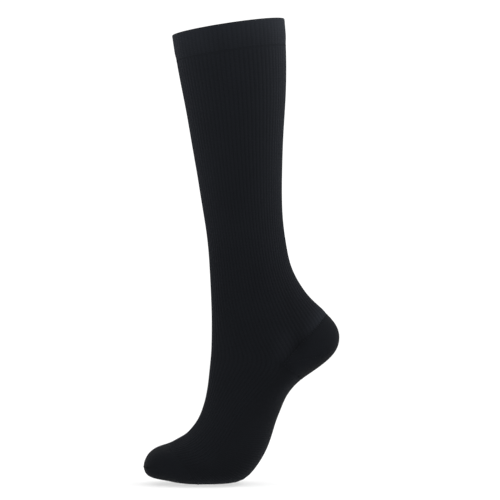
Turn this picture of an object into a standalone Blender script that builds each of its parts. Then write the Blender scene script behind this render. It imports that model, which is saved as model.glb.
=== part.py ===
"""Knee-high compression stocking with a closed toe: the hollow form it keeps on a leg raised on tiptoe.

Five pieces, each a closed wall of cloth: the turned welt, the ribbed leg, the heel pocket, the foot
and the toe pocket. Three rails run along the stocking, down its front, its side and its back. A ring
of cloth is two smooth quarter arcs on each side, from the front rail over the side rail to the back
rail. Near the ankle the rings bend at the side rail, and the heel pocket is the fan of half rings
between the last ring of the leg and the first ring of the foot.

The sections are measured in millimetres from the toe tip (x) and from the floor (z). The toes point
along -X and the heel along +X, and the stocking is the same on both sides of y = 0. The part's origin
is the middle of the welt, where the calf holds the stocking up.
"""

import math
from typing import NamedTuple

import bmesh
import bpy
import numpy as np

MM = 0.001

# The knitting
RIBS = 72  # ribs all round
RIB_HEIGHT = 0.5
LEG_WALL = 1.5  # over the crest of a rib
POCKET_WALL = 1.6  # heel and toe are knitted denser
WELT_PROUD = 0.6  # the turned band is two layers, so it stands out from the leg
WELT_WALL = LEG_WALL + WELT_PROUD
SEAM_GAP = 0.3

# The middle of the welt, where the calf holds the stocking: x from the toe tip, z from the floor
GRIP_X = 87.0
GRIP_Z = 452.6


class Section(NamedTuple):
    """One ring of the stocking. full is 0 for an elliptical quarter, and more for a squarer one."""

    front_x: float
    front_z: float
    side_x: float
    side_z: float
    back_x: float
    back_z: float
    half_width: float
    front_full: float
    back_full: float


class HeelTurn(NamedTuple):
    """One point of the heel's outline, from the leg down to the sole."""

    back_x: float
    back_z: float
    back_full: float


LEG = {
    "rim": Section(29.2, 457.6, 86.5, 466.2, 142.8, 474.6, 52.6, 0.00, 0.02),
    "band_end": Section(33.2, 431.6, 89.3, 439.8, 144.8, 447.8, 51.6, 0.00, 0.02),
    "calf_high": Section(38.3, 404.5, 92.2, 408.8, 145.2, 413.2, 50.2, -0.01, 0.03),
    "calf": Section(43.6, 377.0, 94.6, 381.0, 144.1, 385.2, 47.8, -0.02, 0.03),
    "calf_low": Section(48.6, 348.0, 96.4, 351.4, 142.3, 355.0, 44.8, -0.03, 0.02),
    "shin": Section(53.8, 318.2, 98.4, 321.2, 141.2, 324.4, 41.2, -0.03, 0.01),
    "shin_low": Section(58.5, 289.4, 100.6, 291.5, 140.9, 294.0, 37.6, -0.03, 0.00),
    "ankle_high": Section(62.4, 265.2, 103.2, 266.2, 142.1, 267.2, 34.6, -0.02, -0.02),
    "ankle": Section(65.2, 243.6, 106.0, 243.8, 145.3, 243.9, 32.6, 0.00, -0.04),
    "ankle_low": Section(67.0, 220.0, 109.4, 220.8, 150.9, 220.6, 31.6, 0.02, -0.06),
    "tendon": Section(68.4, 191.5, 114.8, 192.6, 164.8, 196.0, 32.0, 0.03, -0.06),
    "heel_high": Section(69.1, 166.0, 124.0, 164.4, 175.6, 184.4, 33.0, 0.03, -0.03),
    "heel_near": Section(69.0, 148.0, 133.6, 142.6, 181.4, 178.9, 33.5, 0.02, 0.00),
    "corner": Section(68.4, 132.4, 141.6, 123.6, 186.8, 173.4, 33.3, 0.00, 0.04),
}

HEEL = {
    "heel_back": HeelTurn(193.6, 165.6, 0.06),
    "heel_tip": HeelTurn(198.4, 156.4, 0.08),
    "heel_end": HeelTurn(199.3, 147.6, 0.10),
    "heel_under": HeelTurn(196.4, 137.4, 0.10),
    "heel_pad": HeelTurn(189.2, 128.2, 0.10),
    "heel_low": HeelTurn(180.2, 120.6, 0.09),
    "heel_front": HeelTurn(170.6, 113.8, 0.08),
    "sole_root": HeelTurn(161.2, 107.2, 0.06),
}

FOOT = {
    "arch_high": Section(66.9, 117.0, 131.0, 106.6, 150.6, 97.0, 33.0, 0.00, 0.05),
    "arch": Section(64.9, 99.4, 115.4, 90.2, 143.6, 86.0, 33.2, -0.02, 0.05),
    "arch_low": Section(61.0, 81.1, 102.4, 74.6, 138.2, 73.0, 34.6, -0.03, 0.07),
    "instep": Section(55.0, 66.3, 92.8, 59.4, 133.2, 59.2, 37.0, -0.03, 0.10),
    "ball_high": Section(48.4, 57.1, 84.4, 45.2, 126.6, 39.0, 40.2, -0.02, 0.14),
    "ball": Section(42.1, 51.0, 75.6, 33.6, 115.6, 19.2, 42.8, 0.00, 0.18),
    "tread_back": Section(36.6, 47.7, 67.0, 26.6, 101.2, 5.0, 44.0, 0.02, 0.20),
    "tread": Section(31.6, 44.9, 55.6, 22.4, 80.4, 0.8, 44.2, 0.04, 0.20),
    "toe_root": Section(25.2, 41.8, 42.8, 20.0, 57.0, 0.3, 42.8, 0.06, 0.20),
    "toes": Section(15.6, 38.1, 29.8, 18.8, 37.0, 1.5, 39.0, 0.08, 0.18),
    "toes_end": Section(7.4, 33.2, 18.2, 18.6, 20.8, 4.2, 33.0, 0.06, 0.12),
    "toe_tip": Section(2.0, 26.8, 9.0, 18.6, 6.6, 7.6, 26.0, 0.04, 0.06),
    "toe_seam": Section(0.0, 18.8, 5.0, 18.7, 0.0, 18.8, 20.0, 0.00, 0.00),
}

# Steps from one section to the next, where the outline is nearly straight and where it turns
STRAIGHT = 1
TURNING = 2


class Face(NamedTuple):
    """One face of the cloth: the points in a quarter of its ring, and how far they lie inside the
    rails, at the even points and at the odd ones."""

    count: int
    crest: float
    groove: float


RIBBED = Face(RIBS // 2, 0.0, RIB_HEIGHT)
PLAIN = Face(RIBS // 4, 0.0, 0.0)
LINING = RIBS // 8  # points in a quarter ring of an inner face
LEG_INSIDE = Face(LINING, LEG_WALL, LEG_WALL)
INSTEP_INSIDE = Face(RIBBED.count // 3, LEG_WALL, LEG_WALL)
SOLE_INSIDE = Face(PLAIN.count // 3, LEG_WALL, LEG_WALL)
POCKET_INSIDE = Face(LINING, POCKET_WALL, POCKET_WALL)


def spline(knots, values):
    """A smooth curve through the values, as a function of its knots: a natural cubic spline."""
    knots = np.asarray(knots, float)
    values = np.asarray(values, float)
    step = np.diff(knots)
    slope = np.diff(values, axis=0) / step[:, None]
    system = np.eye(len(knots))
    right = np.zeros_like(values)
    for i in range(1, len(knots) - 1):
        system[i, i - 1 : i + 2] = step[i - 1], 2 * (step[i - 1] + step[i]), step[i]
        right[i] = 6 * (slope[i] - slope[i - 1])
    bend = np.linalg.solve(system, right)

    def at(u):
        i = int(np.clip(np.searchsorted(knots, u) - 1, 0, len(step) - 1))
        before, after = knots[i + 1] - u, u - knots[i]
        low = values[i] / step[i] - bend[i] * step[i] / 6
        high = values[i + 1] / step[i] - bend[i + 1] * step[i] / 6
        curved = bend[i] * before**3 + bend[i + 1] * after**3
        return curved / (6 * step[i]) + low * before + high * after

    return at


def chords(points):
    return np.linalg.norm(np.diff(np.asarray(points, float), axis=0), axis=1)


def distances(points):
    """How far along the line through them each point lies."""
    return np.concatenate([[0], np.cumsum(chords(points))])


SECTIONS = list(LEG.values()) + list(FOOT.values())
ROW = {name: i for i, name in enumerate(list(LEG) + list(FOOT))}
FRONTS = [(s.front_x, s.front_z) for s in SECTIONS]
SIDES = [(s.side_x, s.half_width, s.side_z) for s in SECTIONS]
LEG_BACKS = [(s.back_x, s.back_z) for s in LEG.values()]
HEEL_BACKS = [(h.back_x, h.back_z) for h in HEEL.values()]
FOOT_BACKS = [(s.back_x, s.back_z) for s in FOOT.values()]

# How far down the stocking each section lies, and how far round the heel each of its turns
ALONG = (distances(FRONTS) + distances(SIDES)) / 2
TOE_END = ALONG[-1]
CORNER = ALONG[ROW["corner"]]
ROUND_HEEL = distances([LEG_BACKS[-1]] + HEEL_BACKS)
HEEL_LENGTH = ROUND_HEEL[-1]


def sole_place(along):
    """Where a section of the foot meets the sole, as a place along the outline."""
    return 2 * TOE_END - along


def heel_place(down):
    """A place round the heel, this far down from the leg's last ring."""
    return sole_place(CORNER) + HEEL_LENGTH - down


def calf_place(along):
    """Where a section of the leg meets its back."""
    return sole_place(along) + HEEL_LENGTH


def outline_curve():
    """The outline seen from the side as one curve: down the front, round the toe, back along the
    sole, round the heel and up the back of the leg."""
    foot_along = ALONG[len(LEG) : -1]
    leg_along = ALONG[: len(LEG)]
    places = [ALONG, sole_place(foot_along[::-1])]
    places += [heel_place(ROUND_HEEL[:0:-1]), calf_place(leg_along[::-1])]
    points = FRONTS + FOOT_BACKS[-2::-1] + HEEL_BACKS[::-1] + LEG_BACKS[::-1]
    return spline(np.concatenate(places), points)


OUTLINE = outline_curve()
SIDE = spline(ALONG, SIDES)


def outline_point(place, inset):
    """The outline at a place along it, moved in by inset."""
    nudge = 0.01
    tangent = OUTLINE(place + nudge) - OUTLINE(place - nudge)
    inward = np.array([-tangent[1], tangent[0]]) / np.linalg.norm(tangent)
    return OUTLINE(place) + inset * inward


def arc(place, side, full, inset, count):
    """Evenly spaced points of a quarter ring, from the outline (y = 0) to the side rail."""
    end_x, end_z = outline_point(place, inset)
    side_x, half_width, side_z = side
    turn = np.linspace(0, math.pi / 2, 181)
    reach = np.cos(turn) * (1 + full * np.sin(turn) ** 2)
    spread = np.sin(turn) * (1 + full * np.cos(turn) ** 2)
    columns = [
        side_x + (end_x - side_x) * reach,
        (half_width - inset) * spread,
        side_z + (end_z - side_z) * reach,
    ]
    length = distances(np.stack(columns, axis=1))
    even = np.linspace(0, length[-1], count + 1)
    return np.stack([np.interp(even, length, column) for column in columns], axis=1)


def quarter(place, side, full, face):
    """A quarter ring whose points lie on the crest and in the groove of the ribs by turns."""
    crest = arc(place, side, full, face.crest, face.count)
    groove = arc(place, side, full, face.groove, face.count)
    odd = np.arange(face.count + 1) % 2 == 1
    return np.where(odd[:, None], groove, crest)


def mirrored(points):
    return points * np.array([1, -1, 1])


def ring(along, front_face, back_face):
    """A ring of points from the front over +y to the back, and over -y to the front again."""
    side = SIDE(along)
    front_full = np.interp(along, ALONG, [s.front_full for s in SECTIONS])
    back_full = np.interp(along, ALONG, [s.back_full for s in SECTIONS])
    back_place = sole_place(along) if along > CORNER else calf_place(along)
    front = quarter(along, side, front_full, front_face)
    back = quarter(back_place, side, back_full, back_face)
    half = np.concatenate([front, back[-2::-1]])
    return np.concatenate([half, mirrored(half)[-2::-1]])


def heel_arc(down, face):
    """A half ring of the heel pocket, from its corner at +y round the back to its corner at -y."""
    corner = SIDE(CORNER) + np.array([1.5 * SEAM_GAP, 0, 0])
    fulls = [LEG["corner"].back_full] + [h.back_full for h in HEEL.values()]
    full = np.interp(down, ROUND_HEEL, fulls)
    half = quarter(heel_place(down), corner, full, face)
    return np.concatenate([half[::-1], mirrored(half)[1:]])


def add_points(mesh, points):
    """Vertices for points that are in millimetres from the toe tip and the floor."""
    grip = np.array([GRIP_X, 0, GRIP_Z])
    return [mesh.verts.new(point) for point in (points - grip) * MM]


def add_ring(mesh, points):
    """Vertices for a closed ring, with its first one repeated at the end."""
    row = add_points(mesh, points[:-1])
    return row + row[:1]


def add_linked_ring(mesh, points):
    """The same for the ring that lies flat, where the top and the sole share their vertices."""
    count = (len(points) - 1) // 4
    right = add_points(mesh, points[: count + 1])
    left = add_points(mesh, points[-count - 1 : -1]) + right[:1]
    return right + right[-2::-1] + left[-2::-1] + left[1:]


def add_face(mesh, corners):
    """A face, unless so many of its corners are one that nothing is left of it."""
    corners = list(dict.fromkeys(corners))
    if len(corners) > 2:
        mesh.faces.new(corners)


def strip(mesh, first, second):
    """Faces between two rows of vertices. One row may have a whole multiple of the other's steps."""
    fine, coarse = sorted((first, second), key=len, reverse=True)
    order = 1 if fine is first else -1
    ratio = (len(fine) - 1) // (len(coarse) - 1)
    for k in range(len(coarse) - 1):
        near = fine[k * ratio : (k + 1) * ratio + 1]
        if ratio == 1:
            add_face(mesh, [near[0], near[1], coarse[k + 1], coarse[k]][::order])
            continue
        for j in range(ratio):
            tip = coarse[k] if j < ratio // 2 else coarse[k + 1]
            add_face(mesh, [near[j], near[j + 1], tip][::order])
        add_face(mesh, [near[ratio // 2], coarse[k + 1], coarse[k]][::order])


def join_rows(mesh, rows):
    for first, second in zip(rows, rows[1:]):
        strip(mesh, first, second)


def sections_between(first, last, steps):
    """Places from one section to another, with this many steps from each section to the next."""
    rows = np.arange(ROW[first], ROW[last] + 1)
    finer = np.linspace(rows[0], rows[-1], (len(rows) - 1) * steps + 1)
    return np.interp(finer, rows, ALONG[rows])


def with_gaps(places, at_start=1, at_end=1):
    """The places, with half a seam gap taken off the ends that meet another piece."""
    moved = np.array(places, float)
    moved[0] += at_start * SEAM_GAP / 2
    moved[-1] -= at_end * SEAM_GAP / 2
    return moved


def knit(name, base_color, roughness):
    material = bpy.data.materials.new(name)
    material.use_nodes = True
    shader = material.node_tree.nodes["Principled BSDF"]
    shader.inputs["Base Color"].default_value = (*base_color, 1.0)
    shader.inputs["Roughness"].default_value = roughness
    shader.inputs["Metallic"].default_value = 0.0
    return material


def finish(name, mesh, material):
    """Makes the closed mesh a named object of this cloth."""
    bmesh.ops.triangulate(mesh, faces=mesh.faces[:])
    bmesh.ops.recalc_face_normals(mesh, faces=mesh.faces[:])
    data = bpy.data.meshes.new(name)
    mesh.to_mesh(data)
    mesh.free()
    data.materials.append(material)
    bpy.context.scene.collection.objects.link(bpy.data.objects.new(name, data))


def make_tube(name, rings, material):
    """A wall from rings that run down its outside and back up its inside."""
    mesh = bmesh.new()
    rows = [add_ring(mesh, points) for points in rings]
    join_rows(mesh, rows + rows[:1])
    finish(name, mesh, material)


def make_welt(material):
    """The turned band: plain, two layers thick and rounded where it folds over at the rim."""
    outside = Face(PLAIN.count, -WELT_PROUD, -WELT_PROUD)
    radius = WELT_WALL / 2
    band_end = ALONG[ROW["band_end"]]
    places = with_gaps([radius, band_end / 2, band_end], at_start=0)
    rings = [ring(u, outside, outside) for u in places]
    rings += [ring(u, LEG_INSIDE, LEG_INSIDE) for u in places[::-1]]
    for angle in (45, 90, 135):
        inset = LEG_WALL - radius + radius * math.cos(math.radians(angle))
        turned = Face(PLAIN.count, inset, inset)
        rings.append(ring(radius - radius * math.sin(math.radians(angle)), turned, turned))
    make_tube("welt", rings, material)


def make_leg(material):
    """The ribbed tube from the welt to the ankle. Its back half ends on the heel pocket."""
    straight = sections_between("band_end", "ankle", STRAIGHT)
    turning = sections_between("ankle", "corner", TURNING)
    places = with_gaps([*straight, *turning[1:]])
    rings = [ring(u, RIBBED, RIBBED) for u in places]
    rings += [ring(u, LEG_INSIDE, LEG_INSIDE) for u in places[::-1]]
    make_tube("leg", rings, material)


def make_foot(material):
    """The tube from the ankle to the toes: ribbed over the instep, plain under the sole."""
    straight = sections_between("corner", "arch", STRAIGHT)
    turning = sections_between("arch", "toe_root", TURNING)
    places = with_gaps([*straight, *turning[1:]])
    rings = [ring(u, RIBBED, PLAIN) for u in places]
    rings += [ring(u, INSTEP_INSIDE, SOLE_INSIDE) for u in places[::-1]]
    make_tube("foot", rings, material)


def make_heel_pocket(material):
    """The fan of half rings between the leg and the foot, whose ends meet in the pocket's corners."""
    mesh = bmesh.new()
    edges = []
    for face in (PLAIN, POCKET_INSIDE):
        arcs = [heel_arc(down, face) for down in with_gaps(ROUND_HEEL)]
        corners = add_points(mesh, arcs[0][[0, -1]])
        rows = [[corners[0], *add_points(mesh, points[1:-1]), corners[1]] for points in arcs]
        join_rows(mesh, rows)
        edges.append((rows[0], rows[-1]))
    for outer_edge, inner_edge in zip(*edges):
        strip(mesh, outer_edge, inner_edge)
    finish("heel_pocket", mesh, material)


def make_toe_pocket(material):
    """The closed toe. Its rings flatten into the line across the tip where it is linked shut."""
    places = with_gaps(sections_between("toe_root", "toe_seam", TURNING), at_end=0)
    mesh = bmesh.new()
    edges = []
    for face in (PLAIN, POCKET_INSIDE):
        rings = [ring(u, face, face) for u in places]
        rows = [add_ring(mesh, points) for points in rings[:-1]]
        rows.append(add_linked_ring(mesh, rings[-1]))
        join_rows(mesh, rows)
        edges.append(rows[0])
    strip(mesh, *edges)
    finish("toe_pocket", mesh, material)


def main():
    for old in list(bpy.data.objects):
        bpy.data.objects.remove(old)
    rib_knit = knit("black_rib_knit", (0.0125, 0.0134, 0.0162), 0.86)
    dense_knit = knit("black_dense_knit", (0.0103, 0.0110, 0.0137), 0.90)
    welt_knit = knit("black_welt_knit", (0.0150, 0.0160, 0.0195), 0.84)
    make_welt(welt_knit)
    make_leg(rib_knit)
    make_heel_pocket(dense_knit)
    make_foot(rib_knit)
    make_toe_pocket(dense_knit)


main()
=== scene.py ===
"""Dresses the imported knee-high compression stocking in its knitted cloth.

The file is laid out as a Blender add-on and is run as a script. Each operator knits one piece as a thin
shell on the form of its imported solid, and the last one sets the stage. The sections below are in
millimetres from the toe tip (x) and from the floor (z), with the toes along -X.
"""

import math
from functools import partial
from typing import NamedTuple

import bmesh
import bpy
import numpy as np
from bpy.props import FloatProperty, FloatVectorProperty, IntProperty, PointerProperty
from bpy.types import Operator, Panel, PropertyGroup
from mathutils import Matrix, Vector


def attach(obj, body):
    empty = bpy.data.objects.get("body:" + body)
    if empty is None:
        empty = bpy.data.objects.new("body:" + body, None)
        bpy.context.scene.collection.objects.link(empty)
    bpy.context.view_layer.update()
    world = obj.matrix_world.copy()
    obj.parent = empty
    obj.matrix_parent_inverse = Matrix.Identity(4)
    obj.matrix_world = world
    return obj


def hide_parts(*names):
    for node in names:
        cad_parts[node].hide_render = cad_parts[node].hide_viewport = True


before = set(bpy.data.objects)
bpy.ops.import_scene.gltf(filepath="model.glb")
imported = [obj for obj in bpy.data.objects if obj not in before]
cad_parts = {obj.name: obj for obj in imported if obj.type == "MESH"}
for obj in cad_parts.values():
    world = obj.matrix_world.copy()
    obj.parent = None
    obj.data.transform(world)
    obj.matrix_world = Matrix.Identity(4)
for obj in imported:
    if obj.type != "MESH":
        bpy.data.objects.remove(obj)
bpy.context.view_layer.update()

bl_info = {
    "name": "Compression stocking",
    "version": (1, 0, 0),
    "blender": (4, 5, 0),
    "location": "View3D > Sidebar > Stocking",
    "description": "Knits a closed-toe compression stocking over its packed solids",
    "category": "Add Mesh",
}

MM = 0.001
GRIP = (87.0, 0.0, 452.6)  # the frame's origin: the middle of the welt, where the calf holds it
UNEVEN_SEED = 2.0

# Share of its depth that each join of the heel pocket keeps at the middle of the back
BEHIND_HEEL = 0.35
UNDER_HEEL = 0.0

# Shares of the way round, from 0 at the front to 0.5 at the back
POCKET_CORNER = 0.25
BEFORE_CORNER = (0.21, 0.26)  # the pocket's joins begin to draw the cloth in
TO_HEEL_BACK = (0.34, 0.46)  # they ease again, and painted shade darkens the pocket's underside
TO_SOLE_SHADE = (0.36, 0.48)  # painted shade darkens the sole
TO_SWELL = (0.3, 0.42)  # the leg's cloth swells over the heel
TO_HEEL_HIGHLIGHT = (0.32, 0.46)  # and a painted highlight lies on it there

ARC_SAMPLES = 721  # points by which the length of a quarter ring is measured


# The stocking's form


class Section(NamedTuple):
    """One ring of the stocking. full is 0 for an elliptical quarter, and more for a squarer one."""

    front_x: float
    front_z: float
    side_x: float
    side_z: float
    back_x: float
    back_z: float
    half_width: float
    front_full: float
    back_full: float


class HeelTurn(NamedTuple):
    """One point of the heel's outline, from the leg down to the sole."""

    back_x: float
    back_z: float
    back_full: float


LEG = {
    "rim": Section(29.2, 457.6, 86.5, 466.2, 142.8, 474.6, 52.6, 0.00, 0.02),
    "band_end": Section(33.2, 431.6, 89.3, 439.8, 144.8, 447.8, 51.6, 0.00, 0.02),
    "calf_high": Section(38.3, 404.5, 92.2, 408.8, 145.2, 413.2, 50.2, -0.01, 0.03),
    "calf": Section(43.6, 377.0, 94.6, 381.0, 144.1, 385.2, 47.8, -0.02, 0.03),
    "calf_low": Section(48.6, 348.0, 96.4, 351.4, 142.3, 355.0, 44.8, -0.03, 0.02),
    "shin": Section(53.8, 318.2, 98.4, 321.2, 141.2, 324.4, 41.2, -0.03, 0.01),
    "shin_low": Section(58.5, 289.4, 100.6, 291.5, 140.9, 294.0, 37.6, -0.03, 0.00),
    "ankle_high": Section(62.4, 265.2, 103.2, 266.2, 142.1, 267.2, 34.6, -0.02, -0.02),
    "ankle": Section(65.2, 243.6, 106.0, 243.8, 145.3, 243.9, 32.6, 0.00, -0.04),
    "ankle_low": Section(67.0, 220.0, 109.4, 220.8, 150.9, 220.6, 31.6, 0.02, -0.06),
    "tendon": Section(68.4, 191.5, 114.8, 192.6, 164.8, 196.0, 32.0, 0.03, -0.06),
    "heel_high": Section(69.1, 166.0, 124.0, 164.4, 175.6, 184.4, 33.0, 0.03, -0.03),
    "heel_near": Section(69.0, 148.0, 133.6, 142.6, 181.4, 178.9, 33.5, 0.02, 0.00),
    "corner": Section(68.4, 132.4, 141.6, 123.6, 186.8, 173.4, 33.3, 0.00, 0.04),
}

HEEL = {
    "heel_back": HeelTurn(193.6, 165.6, 0.06),
    "heel_tip": HeelTurn(198.4, 156.4, 0.08),
    "heel_end": HeelTurn(199.3, 147.6, 0.10),
    "heel_under": HeelTurn(196.4, 137.4, 0.10),
    "heel_pad": HeelTurn(189.2, 128.2, 0.10),
    "heel_low": HeelTurn(180.2, 120.6, 0.09),
    "heel_front": HeelTurn(170.6, 113.8, 0.08),
    "sole_root": HeelTurn(161.2, 107.2, 0.04),
}

FOOT = {
    "arch_high": Section(66.9, 117.0, 131.0, 106.6, 150.6, 97.0, 33.0, 0.00, 0.05),
    "arch": Section(64.9, 99.4, 115.4, 90.2, 143.6, 86.0, 33.2, -0.02, 0.05),
    "arch_low": Section(61.0, 81.1, 102.4, 74.6, 138.2, 73.0, 34.6, -0.03, 0.07),
    "instep": Section(55.0, 66.3, 92.8, 59.4, 133.2, 59.2, 37.0, -0.03, 0.10),
    "ball_high": Section(48.4, 57.1, 84.4, 45.2, 126.6, 39.0, 40.2, -0.02, 0.14),
    "ball": Section(42.1, 51.0, 75.6, 33.6, 115.6, 19.2, 42.8, 0.00, 0.18),
    "tread_back": Section(36.6, 47.7, 67.0, 26.6, 101.2, 5.0, 44.0, 0.02, 0.20),
    "tread": Section(31.6, 44.9, 55.6, 22.4, 80.4, 0.8, 44.2, 0.04, 0.20),
    "toe_root": Section(25.2, 41.8, 42.8, 20.0, 57.0, 0.3, 42.8, 0.06, 0.20),
    "toes": Section(15.3, 38.5, 29.8, 18.8, 37.0, 1.5, 39.0, 0.08, 0.18),
    "toes_end": Section(7.0, 33.5, 18.2, 18.6, 20.8, 4.2, 33.0, 0.06, 0.12),
    "toe_tip": Section(2.0, 26.8, 9.0, 18.6, 4.4, 8.9, 26.0, 0.04, 0.06),
    "toe_seam": Section(-0.2, 18.2, 5.0, 18.4, -0.2, 18.2, 20.0, 0.00, 0.00),
}


class Relief(NamedTuple):
    """A soft swelling (height over 0) or hollow of the stretched cloth, alike on both sides of the
    stocking. x and z are its middle in the side view and lean is clockwise from upright, in degrees."""

    x: float
    z: float
    lean: float
    length: float
    width: float
    height: float


RELIEF = {
    "ankle_bone": Relief(142.0, 141.0, 12.0, 11.0, 6.5, 1.3),
    "hollow_behind_bone": Relief(158.0, 141.0, 35.0, 9.0, 6.5, -1.3),
    "hollow_under_bone": Relief(142.0, 122.0, 60.0, 6.0, 4.0, -0.8),
    "hollow_beside_tendon": Relief(147.0, 190.0, -14.0, 20.0, 6.0, -0.6),
    "ball_of_big_toe": Relief(62.0, 26.0, -80.0, 12.0, 8.0, 0.5),
}


def spline(knots, values):
    """A smooth curve through the values, as a function of its knots: a natural cubic spline."""
    knots = np.asarray(knots, float)
    values = np.asarray(values, float)
    step = np.diff(knots)
    slope = np.diff(values, axis=0) / step[:, None]
    system = np.eye(len(knots))
    right = np.zeros_like(values)
    for i in range(1, len(knots) - 1):
        system[i, i - 1 : i + 2] = step[i - 1], 2 * (step[i - 1] + step[i]), step[i]
        right[i] = 6 * (slope[i] - slope[i - 1])
    bend = np.linalg.solve(system, right)

    def at(u):
        i = int(np.clip(np.searchsorted(knots, u) - 1, 0, len(step) - 1))
        before, after = knots[i + 1] - u, u - knots[i]
        low = values[i] / step[i] - bend[i] * step[i] / 6
        high = values[i + 1] / step[i] - bend[i + 1] * step[i] / 6
        curved = bend[i] * before**3 + bend[i + 1] * after**3
        return curved / (6 * step[i]) + low * before + high * after

    return at


def distances(points):
    """How far along the line through them each point lies."""
    steps = np.linalg.norm(np.diff(np.asarray(points, float), axis=0), axis=1)
    return np.concatenate([[0], np.cumsum(steps)])


SECTIONS = list(LEG.values()) + list(FOOT.values())
ROW = {name: i for i, name in enumerate(list(LEG) + list(FOOT))}
FRONTS = [(s.front_x, s.front_z) for s in SECTIONS]
SIDES = [(s.side_x, s.half_width, s.side_z) for s in SECTIONS]
LEG_BACKS = [(s.back_x, s.back_z) for s in LEG.values()]
HEEL_BACKS = [(h.back_x, h.back_z) for h in HEEL.values()]
FOOT_BACKS = [(s.back_x, s.back_z) for s in FOOT.values()]

# How far down the stocking each section lies, and how far round the heel each of its turns
ALONG = (distances(FRONTS) + distances(SIDES)) / 2
TOE_END = ALONG[-1]
CORNER = ALONG[ROW["corner"]]
ROUND_HEEL = distances([LEG_BACKS[-1]] + HEEL_BACKS)
HEEL_LENGTH = ROUND_HEEL[-1]


def sole_place(along):
    """Where a section of the foot meets the sole, as a place along the outline."""
    return 2 * TOE_END - along


def heel_place(down):
    """A place round the heel, this far down from the leg's last ring."""
    return sole_place(CORNER) + HEEL_LENGTH - down


def calf_place(along):
    """Where a section of the leg meets its back."""
    return sole_place(along) + HEEL_LENGTH


def outline_curve():
    """The side view's outline as one curve: down the front, round the toe, back along the sole,
    round the heel and up the back of the leg."""
    foot_along = ALONG[len(LEG) : -1]
    leg_along = ALONG[: len(LEG)]
    places = [ALONG, sole_place(foot_along[::-1])]
    places += [heel_place(ROUND_HEEL[:0:-1]), calf_place(leg_along[::-1])]
    points = FRONTS + FOOT_BACKS[-2::-1] + HEEL_BACKS[::-1] + LEG_BACKS[::-1]
    return spline(np.concatenate(places), points)


OUTLINE = outline_curve()
SIDE = spline(ALONG, SIDES)


def outline_point(place, inset):
    """The outline at a place along it, moved in by inset."""
    nudge = 0.01
    tangent = OUTLINE(place + nudge) - OUTLINE(place - nudge)
    inward = np.array([-tangent[1], tangent[0]]) / np.linalg.norm(tangent)
    return OUTLINE(place) + inset * inward


def arc(place, side, full, inset, count):
    """Evenly spaced points of a quarter ring, from the outline (y = 0) to the side rail."""
    end_x, end_z = outline_point(place, inset)
    side_x, half_width, side_z = side
    turn = np.linspace(0, math.pi / 2, ARC_SAMPLES)
    reach = np.cos(turn) * (1 + full * np.sin(turn) ** 2)
    spread = np.sin(turn) * (1 + full * np.cos(turn) ** 2)
    columns = [
        side_x + (end_x - side_x) * reach,
        (half_width - inset) * spread,
        side_z + (end_z - side_z) * reach,
    ]
    length = distances(np.stack(columns, axis=1))
    even = np.linspace(0, length[-1], count + 1)
    return np.stack([np.interp(even, length, column) for column in columns], axis=1)


def mirrored(points):
    return points * np.array([1, -1, 1])


def half_ring(along, inset, count, behind):
    """Points from the front over +y to the back, with count steps in each quarter. behind is calf_place
    for a ring of the leg and sole_place for one of the foot."""
    side = SIDE(along)
    front_full = np.interp(along, ALONG, [s.front_full for s in SECTIONS])
    back_full = np.interp(along, ALONG, [s.back_full for s in SECTIONS])
    front = arc(along, side, front_full, inset, count)
    back = arc(behind(along), side, back_full, inset, count)
    return np.concatenate([front, back[-2::-1]])


def ring(along, inset, count, behind):
    """A ring from the front over +y to the back, and over -y to the front again."""
    half = half_ring(along, inset, count, behind)
    return np.concatenate([half, mirrored(half)[-2::-1]])


def heel_arc(down, inset, count):
    """A half ring of the heel pocket, from its corner at +y round the back to its corner at -y."""
    fulls = [LEG["corner"].back_full] + [h.back_full for h in HEEL.values()]
    full = np.interp(down, ROUND_HEEL, fulls)
    half = arc(heel_place(down), SIDE(CORNER), full, inset, count)
    return np.concatenate([half[::-1], mirrored(half)[1:]])


def cloth_rows(row, places, insets=0.0):
    """The row of points at each place, and the way out of the cloth at each of them."""
    insets = np.broadcast_to(insets, len(places))
    points, inner = (
        np.array([row(place, inset + step) for place, inset in zip(places, insets)])
        for step in (0.0, 1.0)
    )
    out = points - inner
    return points, out / np.linalg.norm(out, axis=-1, keepdims=True)


def lifted(points, outward, lift):
    """The points moved out of the cloth, each by its lift."""
    return points + np.asarray(lift)[..., None] * outward


def rows_between(first, last, pitch):
    """Places from one section to another, a pitch apart, and close together at both ends."""
    start, end = ALONG[ROW[first]], ALONG[ROW[last]]
    steps = max(2, round((end - start) / pitch))
    return closer_at_ends(np.linspace(start, end, steps + 1))


def closer_at_ends(places):
    """The places with one more close to each end, so that the shading there isn't bent."""
    nudge = 0.4
    return np.concatenate(
        [places[:1], [places[0] + nudge], places[1:-1], [places[-1] - nudge], places[-1:]]
    )


def relief(points):
    """How far the swellings and hollows lift the cloth at these points."""
    lift = np.zeros(points.shape[:-1])
    for form in RELIEF.values():
        lean = math.radians(form.lean)
        across = points[..., 0] - form.x
        up = points[..., 2] - form.z
        along = up * math.cos(lean) + across * math.sin(lean)
        over = across * math.cos(lean) - up * math.sin(lean)
        lift += form.height * np.exp(-0.5 * ((along / form.length) ** 2 + (over / form.width) ** 2))
    return lift


def bell(apart, height, reach):
    """Its whole height at no distance, and hardly any of it two reaches away."""
    return height * np.exp(-((apart / reach) ** 2))


def eased(values, low, high):
    """0 up to low, 1 from high on, and a smooth step between them."""
    share = np.clip((values - low) / (high - low), 0, 1)
    return share * share * (3 - 2 * share)


def from_front(around):
    """The share of the way round, counted from the front on both sides."""
    return np.minimum(around, 1 - around)


def pull_of_join(around, kept):
    """Share of its full depth to which a join of the heel pocket draws the cloth in: nothing just in
    front of the pocket's corners, all of it beside the heel, and kept of it at the back."""
    share = from_front(around)
    return eased(share, *BEFORE_CORNER) * (1 - (1 - kept) * eased(share, *TO_HEEL_BACK))


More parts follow.
